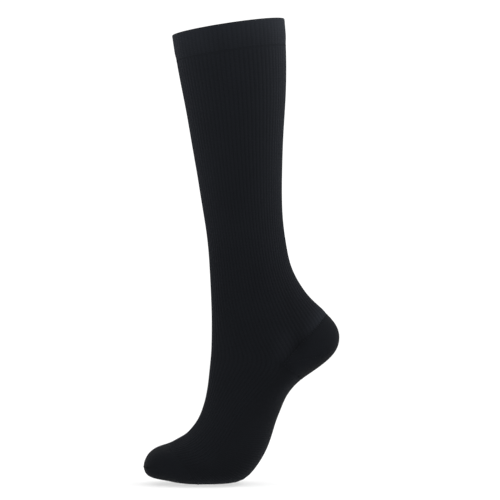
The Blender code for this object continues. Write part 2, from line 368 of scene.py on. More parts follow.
def beside_heel(around):
    """0 on the front half of the stocking and 1 behind it, with a short step at the pocket's corners."""
    ribs = bpy.context.scene.stocking_knit.ribs
    return np.clip((from_front(around) - POCKET_CORNER) * ribs + 0.5, 0, 1)


def sunk_at_join(points, join, around, kept):
    """How far a join of the heel pocket draws the cloth in at these points."""
    sizes = bpy.context.scene.stocking_knit
    apart = np.linalg.norm(points - join, axis=-1)
    sunk = bell(apart, sizes.join_depth / MM, sizes.join_reach / MM)
    return sunk * pull_of_join(around, kept)


def stretch_and_painted_light(down, raised):
    """Painted light and shade in the knit's tone, partly the knit stretched open: painted light towards
    the rim and over each swelling, and painted shade in hollows and from the ankle down."""
    tones = bpy.context.scene.stocking_tones
    rim_light = tones.rim * np.exp(-down / (tones.rim_light_reach / MM))
    ankle_shade = eased(down, ALONG[ROW["shin_low"]], ALONG[ROW["heel_high"]])
    return rim_light + tones.light_and_shade_per_millimetre * raised - tones.ankle * ankle_shade


# Sizes and colours that a user may change


def linear(hex_colour):
    """An sRGB hex colour as the linear values that a shader takes."""
    parts = [int(hex_colour[i : i + 2], 16) / 255 for i in (1, 3, 5)]
    return tuple(c / 12.92 if c <= 0.04045 else ((c + 0.055) / 1.055) ** 2.4 for c in parts)


class KnitSizes(PropertyGroup):
    ribs: IntProperty(name="Ribs", description="Ribs all round the leg", default=72, min=24, max=120)
    rib_height: FloatProperty(
        name="Rib height", description="From the bottom of a groove to the crest of its rib",
        default=0.0004, min=0.0, max=0.001, precision=5, unit="LENGTH",
    )
    groove_share: FloatProperty(
        name="Groove share", description="Share of a rib's width that its groove takes",
        default=0.55, min=0.1, max=0.9, subtype="FACTOR",
    )
    cloth: FloatProperty(
        name="Cloth thickness", description="Wall of the single knit",
        default=0.001, min=0.0005, max=0.0015, precision=5, unit="LENGTH",
    )
    welt_proud: FloatProperty(
        name="Welt stands proud", description="How far the turned double band stands out from the leg",
        default=0.0006, min=0.0, max=0.001, precision=5, unit="LENGTH",
    )
    welt_wall: FloatProperty(
        name="Welt thickness", description="Both layers of the turned band together",
        default=0.0021, min=0.001, max=0.003, precision=5, unit="LENGTH",
    )
    welt_rib_height: FloatProperty(
        name="Welt rib height", description="From groove to crest on the turned band",
        default=0.0003, min=0.0, max=0.001, precision=5, unit="LENGTH",
    )
    welt_roll: FloatProperty(
        name="Welt roll", description="Height of the band's lower edge that rounds in to the leg",
        default=0.009, min=0.001, max=0.015, precision=4, unit="LENGTH",
    )
    welt_tuck: FloatProperty(
        name="Tuck under the welt",
        description="How deep the leg's first row lies under the band's outer layer",
        default=0.00045, min=0.0, max=0.001, precision=5, unit="LENGTH",
    )
    join_depth: FloatProperty(
        name="Join depth", description="How far the heel pocket's join draws the cloth in",
        default=0.0006, min=0.0, max=0.003, precision=5, unit="LENGTH",
    )
    join_reach: FloatProperty(
        name="Join reach", description="Distance from the join over which the cloth is drawn in",
        default=0.0028, min=0.0005, max=0.01, precision=5, unit="LENGTH",
    )
    join_margin: FloatProperty(
        name="Join margin",
        description="Width of the pocket's edge that lies under the leg's and the foot's cloth",
        default=0.0009, min=0.0003, max=0.003, precision=5, unit="LENGTH",
    )
    heel_swell: FloatProperty(
        name="Swelling over the heel",
        description="How far the leg's cloth stands over the tighter pocket at the back",
        default=0.0002, min=0.0, max=0.003, precision=5, unit="LENGTH",
    )
    unevenness: FloatProperty(
        name="Unevenness", description="How far stretched cloth strays from a perfectly smooth form",
        default=0.0002, min=0.0, max=0.001, precision=5, unit="LENGTH",
    )


class StitchSizes(PropertyGroup):
    spacing: FloatProperty(
        name="Stitch spacing", description="Between two linking stitches along a join",
        default=0.0023, min=0.001, max=0.006, precision=5, unit="LENGTH",
    )
    length: FloatProperty(
        name="Stitch length", description="Of one leg of a stitch",
        default=0.0017, min=0.0005, max=0.005, precision=5, unit="LENGTH",
    )
    yarn: FloatProperty(
        name="Yarn thickness", description="Diameter of the covered yarn in a join",
        default=0.0006, min=0.0002, max=0.0015, precision=5, unit="LENGTH",
    )
    lean: FloatProperty(
        name="Stitch lean",
        description="Angle between each leg of a stitch and the way that the wales run",
        default=math.radians(28), min=0.0, max=math.pi / 2, subtype="ANGLE",
    )


class YarnColours(PropertyGroup):
    leg: FloatVectorProperty(
        name="Leg and foot yarn", description="Black nylon over elastane, as knitted in ribs",
        default=linear("#15171B"), min=0.0, max=1.0, subtype="COLOR",
    )
    pocket: FloatVectorProperty(
        name="Heel and toe yarn", description="The same black where the knit is denser",
        default=linear("#121418"), min=0.0, max=1.0, subtype="COLOR",
    )
    welt: FloatVectorProperty(
        name="Welt yarn", description="The black of the double elastic band",
        default=linear("#16181C"), min=0.0, max=1.0, subtype="COLOR",
    )
    join: FloatVectorProperty(
        name="Join yarn", description="Black yarn of the linking stitches",
        default=linear("#15171B"), min=0.0, max=1.0, subtype="COLOR",
    )


# Painted light and shade in the knit's tone, partly the knit stretched open
class PaintedLightTones(PropertyGroup):
    # Painted light towards the rim, partly the knit stretched open, and its reach
    rim: FloatProperty(
        name="Opened at the rim",
        description="How much paler the knit is at the rim, where the calf stretches it open",
        default=0.8, min=0.0, max=3.0,
    )
    rim_light_reach: FloatProperty(
        name="Reach from the rim", description="Distance from the rim over which the knit closes again",
        default=0.024, min=0.005, max=0.2, unit="LENGTH",
    )
    # Painted light over swellings and painted shade in hollows and join creases, partly the knit
    # stretched open
    light_and_shade_per_millimetre: FloatProperty(
        name="Opened by a swelling",
        description="How much paler the knit is for each millimetre that it is stretched outwards",
        default=0.16, min=0.0, max=1.0,
    )
    # A painted highlight on the leg's cloth over the heel's back, and its reach
    heel: FloatProperty(
        name="Opened behind the heel",
        description="How much paler the leg's knit is where it is stretched over the heel's back",
        default=1.0, min=0.0, max=3.0,
    )
    heel_highlight_reach: FloatProperty(
        name="Reach from the heel",
        description="Distance from the heel pocket over which the leg's knit closes again",
        default=0.012, min=0.002, max=0.1, unit="LENGTH",
    )
    # Painted shade from the ankle down
    ankle: FloatProperty(
        name="Closed at the ankle",
        description="How much darker the knit is from the ankle down, where it grips most",
        default=0.2, min=0.0, max=0.9,
    )
    # Painted shade under the heel and the sole
    sole: FloatProperty(
        name="Closed under the sole",
        description="How much darker still the plain knit is under the heel and the sole",
        default=0.55, min=0.0, max=0.9,
    )


class StudioSizes(PropertyGroup):
    camera_distance: FloatProperty(
        name="Camera distance", description="From the stocking's middle plane to the camera",
        default=2.7, min=0.5, max=10.0, unit="LENGTH",
    )
    view_width: FloatProperty(
        name="View width", description="Width of the picture at the stocking's middle plane",
        default=0.51, min=0.1, max=2.0, unit="LENGTH",
    )
    floor_radius: FloatProperty(
        name="Floor radius", description="Of the pale round floor",
        default=6.0, min=1.0, max=20.0, unit="LENGTH",
    )
    table_glow: FloatProperty(
        name="Table glow", description="Share of the floor's light that comes through it from below",
        default=0.6, min=0.0, max=1.0, subtype="FACTOR",
    )
    room_light: FloatProperty(
        name="Room light",
        description="Even white light from all round, enough to burn the floor out to white",
        default=1.105, min=0.0, max=5.0,
    )
    key_power: FloatProperty(
        name="Key light", description="Power of the soft light beside the calf",
        default=3.7, min=0.0, max=500.0, unit="POWER",
    )
    fill_power: FloatProperty(
        name="Fill light", description="Power of the soft light before the shin",
        default=0.6, min=0.0, max=500.0, unit="POWER",
    )


# Node trees

MATH = "ShaderNodeMath"
VECTOR_MATH = "ShaderNodeVectorMath"
MAP_RANGE = "ShaderNodeMapRange"
NOISE = "ShaderNodeTexNoise"
BUMP = "ShaderNodeBump"
NAMED = "GeometryNodeInputNamedAttribute"
JOIN_AXES = "ShaderNodeCombineXYZ"
SMOOTH = {"interpolation_type": "SMOOTHSTEP"}

# Noise, in swells to a metre
WAVER = 28.0  # stretched cloth strays from its form over about 36 mm
DYE = 22.0  # dye takes unevenly over about 45 mm
FUZZ = 900.0  # filaments that stand off the yarn, drawn at 1.1 mm because finer ones don't show
TWIST = 1600.0  # the cover of the join yarn turns about every 0.6 mm
TOOTH = 400.0  # the grain of the matt acrylic, 2.5 mm

LEG_ASIDE = 0.22  # from a stitch's middle to each of its legs, as a share of the spacing


def feed(tree, node, inputs):
    """Gives each input a value, another node's socket or another node's first output."""
    for key, value in inputs.items():
        if isinstance(value, bpy.types.Node):
            value = value.outputs[0]
        if isinstance(value, bpy.types.NodeSocket):
            tree.links.new(value, node.inputs[key])
        else:
            node.inputs[key].default_value = value


def add(tree, kind, inputs=None, **settings):
    """Adds a node with its settings and feeds its inputs."""
    node = tree.nodes.new(kind)
    for name, value in settings.items():
        setattr(node, name, value)
    feed(tree, node, inputs or {})
    return node


def named_tree(name, numbers, sizes):
    """An empty geometry tree with these whole numbers and sizes as inputs, and a material."""
    tree = bpy.data.node_groups.new(name, "GeometryNodeTree")
    kinds = {"Geometry": "Geometry", **dict.fromkeys(numbers, "Int")}
    kinds.update(dict.fromkeys(sizes, "Float"), Material="Material")
    for label, kind in kinds.items():
        tree.interface.new_socket(label, in_out="INPUT", socket_type="NodeSocket" + kind)
    tree.interface.new_socket("Geometry", in_out="OUTPUT", socket_type="NodeSocketGeometry")
    return tree, tree.nodes.new("NodeGroupInput").outputs


def end_tree(tree, geometry, material):
    """Ends a tree in real geometry of one material."""
    real = add(tree, "GeometryNodeRealizeInstances", {"Geometry": geometry})
    done = add(tree, "GeometryNodeSetMaterial", {"Geometry": real, "Material": material})
    add(tree, "NodeGroupOutput", {"Geometry": done})
    return tree


def rib_knit_tree():
    """Sinks a groove between each two ribs, placed by 'around' and as deep as 'ribbed' says. The cloth
    moves along 'outward', so that two pieces stay together where they join."""
    sizes = ("Rib Height", "Groove Share", "Unevenness", "Seed")
    tree, given = named_tree("Rib knit", ("Ribs",), sizes)
    node = partial(add, tree)
    around = node(NAMED, {"Name": "around"}, data_type="FLOAT")
    ribbed = node(NAMED, {"Name": "ribbed"}, data_type="FLOAT")
    turn = node(MATH, {0: around, 1: given["Ribs"]}, operation="MULTIPLY")
    # 0 on the crest of a rib and 0.5 in the middle of the groove beside it
    from_crest = node(MATH, {0: turn, 1: 0.5}, operation="PINGPONG")
    shoulder = node(MATH, {0: given["Groove Share"], 1: -0.5, 2: 0.5}, operation="MULTIPLY_ADD")
    groove = node(MAP_RANGE, {"Value": from_crest, "From Min": shoulder, "From Max": 0.5}, **SMOOTH)
    depth = node(MATH, {0: given["Rib Height"], 1: ribbed}, operation="MULTIPLY")
    sink = node(MATH, {0: groove, 1: depth}, operation="MULTIPLY")

    waver = {"W": given["Seed"], "Scale": WAVER, "Detail": 1.0, "Roughness": 0.4}
    waver["Vector"] = node("GeometryNodeInputPosition")
    sway = node(NOISE, waver, noise_dimensions="4D")
    centred = node(MATH, {0: sway, 1: 0.5}, operation="SUBTRACT")
    stray = node(MATH, {0: centred, 1: given["Unevenness"]}, operation="MULTIPLY")
    out = node(MATH, {0: stray, 1: sink}, operation="SUBTRACT")
    outward = node(NAMED, {"Name": "outward"}, data_type="FLOAT_VECTOR")
    shift = node(VECTOR_MATH, {0: outward, "Scale": out}, operation="SCALE")
    moved = node("GeometryNodeSetPosition", {"Geometry": given["Geometry"], "Offset": shift})

    # The cut edges of the cloth stay crisp when the wall is put on
    beside = node("GeometryNodeInputMeshEdgeNeighbors")
    border = node("FunctionNodeCompare", {"A": beside, "B": 1}, data_type="INT", operation="EQUAL")
    edges = {"Geometry": moved, "Selection": border, "Shade Smooth": False}
    crisp = node("GeometryNodeSetShadeSmooth", edges, domain="EDGE")
    return end_tree(tree, crisp, given["Material"])


def linking_stitch_tree():
    """Sets a V-shaped stitch of two yarn legs at every step along a join on the cloth."""
    sizes = ("Spacing", "Length", "Yarn", "Lean")
    tree, given = named_tree("Linking stitches", (), sizes)
    node = partial(add, tree)
    line = node("GeometryNodeMeshToCurve", {"Mesh": given["Geometry"]})
    pitch = {"Curve": line, "Length": given["Spacing"]}
    steps = node("GeometryNodeResampleCurve", pitch, mode="LENGTH")
    strand = node("GeometryNodeMeshUVSphere", {"Segments": 6, "Rings": 5, "Radius": 0.5})
    size = node(JOIN_AXES, {"X": given["Yarn"], "Y": given["Length"], "Z": given["Yarn"]})
    aside = node(MATH, {0: given["Spacing"], 1: LEG_ASIDE}, operation="MULTIPLY")
    legs = node("GeometryNodeJoinGeometry")
    for sign in (-1.0, 1.0):
        lean = node(MATH, {0: given["Lean"], 1: sign}, operation="MULTIPLY")
        offset = node(MATH, {0: aside, 1: sign}, operation="MULTIPLY")
        placed = {
            "Geometry": strand,
            "Translation": node(JOIN_AXES, {"X": offset}),
            "Rotation": node(JOIN_AXES, {"Z": lean}),
            "Scale": size,
        }
        feed(tree, legs, {"Geometry": node("GeometryNodeTransform", placed)})
    outward = node(NAMED, {"Name": "outward"}, data_type="FLOAT_VECTOR")
    turned = node(
        "FunctionNodeAxesToRotation",
        {"Primary Axis": outward, "Secondary Axis": node("GeometryNodeInputTangent")},
        primary_axis="Z",
        secondary_axis="X",
    )
    held = {"Points": steps, "Instance": legs, "Rotation": turned}
    rows = node("GeometryNodeInstanceOnPoints", held)
    smooth = node("GeometryNodeSetShadeSmooth", {"Geometry": rows})
    return end_tree(tree, smooth, given["Material"])


def grown(obj, tree, values):
    """Grows the tree's result on the object and keeps it as the object's own plain mesh."""
    modifier = obj.modifiers.new(tree.name, "NODES")
    modifier.node_group = tree
    for item in tree.interface.items_tree:
        if item.in_out == "INPUT" and item.name != "Geometry":
            modifier[item.identifier] = values[item.name]
    bpy.context.view_layer.update()
    graph = bpy.context.evaluated_depsgraph_get()
    plain = bpy.data.meshes.new_from_object(obj.evaluated_get(graph), depsgraph=graph)
    obj.modifiers.remove(modifier)
    guide = obj.data
    obj.data = plain
    bpy.data.meshes.remove(guide)
    plain.name = obj.name
    if not plain.polygons:
        raise RuntimeError(f"{tree.name} grew nothing on {obj.name}")
    return obj


# Finishes

WALES_IN_RIB = 2.0  # one standing and one sunk
LOOP_LEAN = 1.3  # rows that a loop's leg climbs for each wale that it crosses
LOOP_TOP = 1.2  # height of the highest fuzz over the bottom of a loop
NYLON_IOR = 1.53  # nylon's own; thousands of matt round filaments hide nearly all of its gloss


def principled(name):
    """A new material of this name, its node tree and its shader."""
    material = bpy.data.materials.new(name)
    material.use_nodes = True
    return material, material.node_tree, material.node_tree.nodes["Principled BSDF"]


def knit_finish(name, yarn, course, depth, painted_groove_shade, plain_shade, sheen):
    """A weft knit of black nylon-covered elastane yarn, made the first time that it is asked for.

    course is the height of a course and depth that of a loop's relief, in millimetres. The loops follow
    the piece's own UV map, where u counts ribs round the stocking and v counts millimetres down it.
    The grooves are darkened both by the elastic that shows in them and by painted shade, and plain_shade
    is the tone of the closer knit without ribs.
    """
    known = bpy.data.materials.get(name)
    if known:
        return known
    material, tree, shader = principled(name)
    node = partial(add, tree)
    place = node("ShaderNodeSeparateXYZ", {"Vector": node("ShaderNodeUVMap", uv_map="knit")})
    ribs, down = place.outputs["X"], place.outputs["Y"]

    # Each loop is a V: two legs of yarn that lean in towards the middle of their wale
    wale = node(MATH, {0: ribs, 1: WALES_IN_RIB}, operation="MULTIPLY")
    across = node(MATH, {0: wale, 1: 0.5}, operation="PINGPONG")
    row = node(MATH, {0: down, 1: 1 / course}, operation="MULTIPLY")
    leant = node(MATH, {0: across, 1: LOOP_LEAN, 2: row}, operation="MULTIPLY_ADD")
    strand = node(MATH, {0: leant, 1: 0.5}, operation="PINGPONG")
    rounded = node(MAP_RANGE, {"Value": strand, "From Min": 0.04, "From Max": 0.42}, **SMOOTH)
    middle = node(MATH, {0: across, 1: 0.25}, operation="PINGPONG")
    leg_form = node(MAP_RANGE, {"Value": middle, "From Max": 0.22, "To Min": 0.25}, **SMOOTH)
    loop = node(MATH, {0: rounded, 1: leg_form}, operation="MULTIPLY")

    # Yarn thickness and dye differ a little from place to place
    spot = node("ShaderNodeTexCoord").outputs["Object"]
    fuzz = node(NOISE, {"Vector": spot, "Scale": FUZZ, "Detail": 2.0, "Roughness": 0.6})
    patch = node(NOISE, {"Vector": spot, "Scale": DYE, "Detail": 2.0, "Roughness": 0.5})
    height = node(MATH, {0: fuzz, 1: 0.35, 2: loop}, operation="MULTIPLY_ADD")

    # The groove between two ribs shows less yarn, and painted shade darkens it further
    ribbed = node("ShaderNodeAttribute", attribute_name="ribbed").outputs["Fac"]
    beside = node(MATH, {0: ribs, 1: 0.5}, operation="PINGPONG")
    shaded = {"Value": beside, "From Min": 0.24, "From Max": 0.5, "To Max": -painted_groove_shade}
    closeness = node(MAP_RANGE, {"Value": ribbed, "To Min": plain_shade})
    sunk = node(MAP_RANGE, shaded, **SMOOTH)
    groove = node(MATH, {0: sunk, 1: ribbed, 2: closeness}, operation="MULTIPLY_ADD")

    # Painted light and shade, partly the knit stretched open, as each piece's own attribute gives it
    stretched = node("ShaderNodeAttribute", attribute_name="stretch_and_painted_light").outputs["Fac"]
    painted_light_factor = node(MATH, {0: stretched, 1: 1.0}, operation="ADD")
    # Painted light on the top of each loop and painted shade between the loops
    painted_loop_light = node(MAP_RANGE, {"Value": height, "From Max": LOOP_TOP, "To Min": 0.72, "To Max": 1.12})
    dyed = {"Value": patch, "From Min": 0.3, "From Max": 0.7, "To Min": 0.93, "To Max": 1.07}
    shade = node(MATH, {0: groove, 1: painted_loop_light}, operation="MULTIPLY")
    dye_and_painted_light = node(MATH, {0: painted_light_factor, 1: node(MAP_RANGE, dyed)}, operation="MULTIPLY")
    tone = node(MATH, {0: shade, 1: dye_and_painted_light}, operation="MULTIPLY")
    surface = {
        "Base Color": node(VECTOR_MATH, {0: tuple(yarn), "Scale": tone}, operation="SCALE"),
        "Roughness": node(
            MAP_RANGE, {"Value": height, "From Max": LOOP_TOP, "To Min": 0.95, "To Max": 0.78}
        ),
        "Normal": node(BUMP, {"Height": height, "Strength": 0.6, "Distance": depth * MM}),
        "Metallic": 0.0,
        "IOR": NYLON_IOR,
        "Specular IOR Level": 0.06,
        "Sheen Weight": sheen,
        "Sheen Roughness": 0.45,
        "Sheen Tint": (*linear("#A6B6DA"), 1.0),
    }
    feed(tree, shader, surface)
    return material


def rib_finish():
    """Leg and foot. Knitted on a 144-needle cylinder, so each rib is one standing and one sunk wale.
    Its courses are 0.8 mm and are drawn at 1.5 mm, because finer ones don't show at this size."""
    return knit_finish(
        "nylon_elastane_rib_knit",
        bpy.context.scene.stocking_yarn.leg,
        course=1.5,
        depth=0.3,
        painted_groove_shade=0.12,
        plain_shade=0.9,
        sheen=0.022,
    )


def dense_finish():
    """Heel and toe. Plain jersey, close and matt; its 0.7 mm courses are drawn at 1.3 mm to show."""
    return knit_finish(
        "nylon_elastane_dense_knit",
        bpy.context.scene.stocking_yarn.pocket,
        course=1.3,
        depth=0.25,
        painted_groove_shade=0.0,
        plain_shade=1.0,
        sheen=0.005,
    )


def welt_finish():
    """The double elastic band. Stretched flat, so it is the smoothest and palest of the three. Its
    courses are drawn at 1.8 mm, because finer ones don't show at this size."""
    return knit_finish(
        "nylon_elastane_welt_knit",
        bpy.context.scene.stocking_yarn.welt,
        course=1.8,
        depth=0.3,
        painted_groove_shade=0.12,
        plain_shade=0.95,
        sheen=0.022,
    )


def join_finish():
    """Linking stitches of the same covered yarn, standing clear of the knit, so a little brighter."""
    name = "covered_join_yarn"
    known = bpy.data.materials.get(name)
    if known:
        return known
    material, tree, shader = principled(name)
    node = partial(add, tree)
    spot = node("ShaderNodeTexCoord").outputs["Object"]
    twist = node(NOISE, {"Vector": spot, "Scale": TWIST, "Detail": 2.0})
    tone = node(MAP_RANGE, {"Value": twist, "To Min": 0.8, "To Max": 1.2})
    yarn = tuple(bpy.context.scene.stocking_yarn.join)
    surface = {
        "Base Color": node(VECTOR_MATH, {0: yarn, "Scale": tone}, operation="SCALE"),
        "Normal": node(BUMP, {"Height": twist, "Strength": 0.4, "Distance": 0.1 * MM}),
        "Roughness": 0.8,
        "IOR": NYLON_IOR,
        "Specular IOR Level": 0.08,
        "Sheen Weight": 0.04,
        "Sheen Roughness": 0.4,
    }
    feed(tree, shader, surface)
    return material


def table_finish():
    """Opal acrylic of a studio table: white and matt with a faint tooth. Light comes through it from
    below as well as off it, so that what stands on it has hardly any shadow."""
    material, tree, shader = principled("matt_opal_acrylic")
    node = partial(add, tree)
    spot = node("ShaderNodeTexCoord").outputs["Object"]
    tooth = node(NOISE, {"Vector": spot, "Scale": TOOTH, "Detail": 2.0})
    white = (*linear("#FAFAFA"), 1.0)
    surface = {
        "Base Color": white,
        "Normal": node(BUMP, {"Height": tooth, "Strength": 0.1, "Distance": 0.2 * MM}),
        "Roughness": 0.9,
        "Specular IOR Level": 0.1,
    }
    feed(tree, shader, surface)
    through = node("ShaderNodeBsdfTranslucent", {"Color": white})
    share = bpy.context.scene.stocking_studio.table_glow
    both = node("ShaderNodeMixShader", {0: share, 1: shader, 2: through})
    feed(tree, tree.nodes["Material Output"], {"Surface": both})
    return material


# Meshes


def add_object(name, data):
    """An object of this data, in the scene."""
    obj = bpy.data.objects.new(name, data)
    bpy.context.scene.collection.objects.link(obj)
    return obj


class Cloth(NamedTuple):
    """A piece's cloth as rows of points that run round the stocking, and what holds at each of them.
    Lengths are in millimetres, and places from the toe tip and the floor."""

    points: np.ndarray
    outward: np.ndarray  # the way out of the cloth
    around: np.ndarray  # share of the way round the stocking, from its front
    down: np.ndarray  # place down the stocking
    ribbed: np.ndarray  # share of the ribs' full height
    stretch_and_painted_light: np.ndarray  # painted light and shade in the knit's tone, partly the knit stretched open


def four_corners(grid):
    """The grid's values at the corners of each of its faces, in the order that goes round the face."""
    return np.stack([grid[:-1, :-1], grid[:-1, 1:], grid[1:, 1:], grid[1:, :-1]], axis=-1)


def knitted_grid(name, cloth, closed_round, closed_down=False):
    """An object whose mesh joins the rows of the cloth. A row's last point is its first again where
    closed_round is set, and the last row meets the first where closed_down is."""
    rows, columns = cloth.points.shape[:2]
    around, down = cloth.around, cloth.down
    across = columns - 1 if closed_round else columns
    index = np.arange(rows * across).reshape(rows, across)
    if closed_round:
        index = np.concatenate([index, index[:, :1]], axis=1)
    if closed_down:
        index = np.concatenate([index, index[:1]], axis=0)
        down = np.concatenate([down, down[-1:] + (down[-1:] - down[-2:-1])], axis=0)
        around = np.concatenate([around, around[:1]], axis=0)
    mesh = bpy.data.meshes.new(name)
    places = (cloth.points[:, :across].reshape(-1, 3) - np.array(GRIP)) * MM
    mesh.from_pydata(places.tolist(), [], four_corners(index).reshape(-1, 4).tolist())
    mesh.polygons.foreach_set("use_smooth", np.ones(len(mesh.polygons), bool))
    ribs = bpy.context.scene.stocking_knit.ribs
    knit = np.stack([four_corners(around * ribs), four_corners(down)], axis=-1)
    uv = mesh.uv_layers.new(name="knit")
    uv.data.foreach_set("uv", knit.reshape(-1).astype(np.float32))
    for label in ("outward", "around", "ribbed", "stretch_and_painted_light"):
        kind, domain = ("vector", "FLOAT_VECTOR") if label == "outward" else ("value", "FLOAT")
        attribute = mesh.attributes.new(label, domain, "POINT")
        held = getattr(cloth, label)[:, :across].reshape(-1)
        attribute.data.foreach_set(kind, held.astype(np.float32))
    closed_up(mesh)
    return add_object(name, mesh)


def closed_up(mesh):
    """Merges points that lie together, at a pole or along a line that is linked shut, and then turns
    every face outwards."""
    cloth = bmesh.new()
    cloth.from_mesh(mesh)
    bmesh.ops.remove_doubles(cloth, verts=cloth.verts, dist=0.001 * MM)
    bmesh.ops.recalc_face_normals(cloth, faces=cloth.faces)
    middle = sum((vertex.co for vertex in cloth.verts), Vector()) / len(cloth.verts)
    out = sum(face.normal.dot(face.calc_center_median() - middle) for face in cloth.faces)
    if out < 0:
        bmesh.ops.reverse_faces(cloth, faces=cloth.faces)
    cloth.to_mesh(mesh)
    cloth.free()


def walled(obj, thickness):
    """Gives the sheet its thickness, inwards from the face that shows."""
    wall = obj.modifiers.new("Cloth wall", "SOLIDIFY")
    wall.thickness = thickness
    wall.offset = -1.0
    wall.use_even_offset = False
    wall.use_rim = True


def rib_knit(obj, material, rib_height):
    """Knits the ribs and the small unevenness of stretched cloth into the sheet."""
    sizes = bpy.context.scene.stocking_knit
    values = {
        "Ribs": sizes.ribs,
        "Rib Height": rib_height,
        "Groove Share": sizes.groove_share,
        "Unevenness": sizes.unevenness,
        "Seed": UNEVEN_SEED,
        "Material": material,
    }
    grown(obj, bpy.data.node_groups.get("Rib knit") or rib_knit_tree(), values)


# Columns to a rib: six round those of the leg and the foot, and four do for the band and the pockets
RIBBED_COLUMNS = 6
PLAIN_COLUMNS = 4


def quarter_columns(per_rib):
    """Columns in a quarter of the way round, with this many to each rib."""
    return bpy.context.scene.stocking_knit.ribs // 4 * per_rib


def spread(values, rows):
    """One row of values repeated for every row."""
    return np.repeat(np.asarray(values, float)[None, :], rows, axis=0)


def knitted_rings(places, per_rib, behind, insets=0.0):
    """Rings of the cloth at these places: their points, the way out of the cloth, the share of the way
    round from the front, and the place down the stocking."""
    row = partial(ring, count=quarter_columns(per_rib), behind=behind)
    points, outward = cloth_rows(row, places, insets)
    around = spread(np.linspace(0, 1, points.shape[1]), len(places))
    return points, outward, around, spread(places, points.shape[1]).T


def sole_shade(around):
    """Painted shade under the sole, as a darker tone of the plain knit."""
    return bpy.context.scene.stocking_tones.sole * eased(from_front(around), *TO_SOLE_SHADE)


# Joins

# The stitches lie this far inside a pocket's edge, and below the band's
IN_POCKET, BELOW_BAND = 0.3, 0.7

# The line across the toe: how far before the side rail it ends, the least step between two of its
# points, and how much its stitches face up for each step forward
SEAM_END, SEAM_STEP, SEAM_RISE = 0.1, 0.1, 0.35


def ring_join(along, count, lift, behind):
    """The join round the whole stocking at this place."""
    rows = cloth_rows(partial(ring, count=count, behind=behind), [along])
    points, outward = (row[0, :-1] for row in rows)
    return lifted(points, outward, relief(points) + lift), outward, True


def heel_row(down):
    """A row of the heel pocket, and the way out of the cloth at each of its points."""
    row = partial(heel_arc, count=quarter_columns(PLAIN_COLUMNS))
    return (found[0] for found in cloth_rows(row, [down]))


def edge_join(down, lift, kept):
    """The join along an edge of the heel pocket, this far down it."""
    points, outward = heel_row(down)
    around = np.linspace(POCKET_CORNER, 1 - POCKET_CORNER, len(points))
    depth = bpy.context.scene.stocking_knit.join_depth / MM
    sunk = depth * pull_of_join(around, kept)
    line = lifted(points, outward, relief(points) + lift - sunk)
    return line[1:-1], outward[1:-1], False


def gore_joins(share):
    """The lines half way round the heel where its short rows turn, from each corner of the pocket on
    share of the way to its back."""
    points, outward = heel_row(HEEL_LENGTH / 2)
    line = lifted(points, outward, relief(points))
    kept = round(share * quarter_columns(PLAIN_COLUMNS)) + 1
    return [(line[2:kept], outward[2:kept], False), (line[-kept:-2], outward[-kept:-2], False)]


def tip_join(count, lift):
    """The line across the toe where it is linked shut. Its stitches face forward and a little up."""
    tip = ring(TOE_END, 0.0, count, sole_place)[:-1]
    tip = np.concatenate([tip[-count:], tip[: count + 1]])
    seam = tip[tip[:, 0] < FOOT["toe_seam"].side_x - SEAM_END]
    seam = seam[np.argsort(seam[:, 1])]
    seam = seam[np.concatenate([[True], np.diff(seam[:, 1]) > SEAM_STEP])]
    forward = np.tile([-1.0, 0.0, SEAM_RISE], (len(seam), 1)) / math.hypot(1, SEAM_RISE)
    return seam + lift * forward, forward, False


def linked(name, joins, spacing=1.0, size=1.0):
    """Rows of linking stitches along the joins, as one piece."""
    sizes = bpy.context.scene.stocking_stitch
    points, ways, edges = [], [], []
    for line, outward, closed in joins:
        first = sum(len(part) for part in points)
        last = first + len(line) - 1
        edges += [(i, i + 1) for i in range(first, last)] + [(last, first)] * closed
        points.append((line - np.array(GRIP)) * MM)
        ways.append(outward)
    mesh = bpy.data.meshes.new(name)
    mesh.from_pydata(np.concatenate(points).tolist(), edges, [])
    attribute = mesh.attributes.new("outward", "FLOAT_VECTOR", "POINT")
    attribute.data.foreach_set("vector", np.concatenate(ways).reshape(-1).astype(np.float32))
    values = {
        "Spacing": sizes.spacing * spacing,
        "Length": sizes.length * size,
        "Yarn": sizes.yarn * size,
        "Lean": sizes.lean,
        "Material": join_finish(),
    }
    tree = bpy.data.node_groups.get("Linking stitches") or linking_stitch_tree()
    obj = grown(add_object(name, mesh), tree, values)
    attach(obj, "root")
    return obj


# Operators

# Millimetres from the band's lower edge or from the heel pocket: fine rows lie nearer than the first
# figure, and coarse rows further away than the second
BAND_FINE, BAND_COARSE = 7.0, 8.0
LEG_FINE, LEG_COARSE = 7.5, 8.0
FOOT_FINE, FOOT_COARSE = 5.0, 5.5
FINE_ROWS = 8  # of the leg and the foot
BAND_ROWS, EDGE_ROWS, FOLD_ROWS = 8, 10, 7  # coarse and fine ones of the band, and round its fold
HEEL_ROWS = 33
TUCKED = 2.0  # how far the leg runs up under the band

# Millimetres from a piece's edge over which its ribs rise to their full height
BAND_RISE = (1.5, 5.0)
LEG_RISE = (2.0, 6.0)
POCKET_RISE = (0.0, 1.0)
TOE_RISE = (0.3, 3.5)

# The swelling over the heel: its distance from the pocket and its reach, in millimetres
SWELL_APART, SWELL_REACH = 7.0, 4.0

# Shares of the way round the heel over which painted shade darkens the pocket towards its underside
HEEL_SHADE_SPAN = (0.3, 0.8)


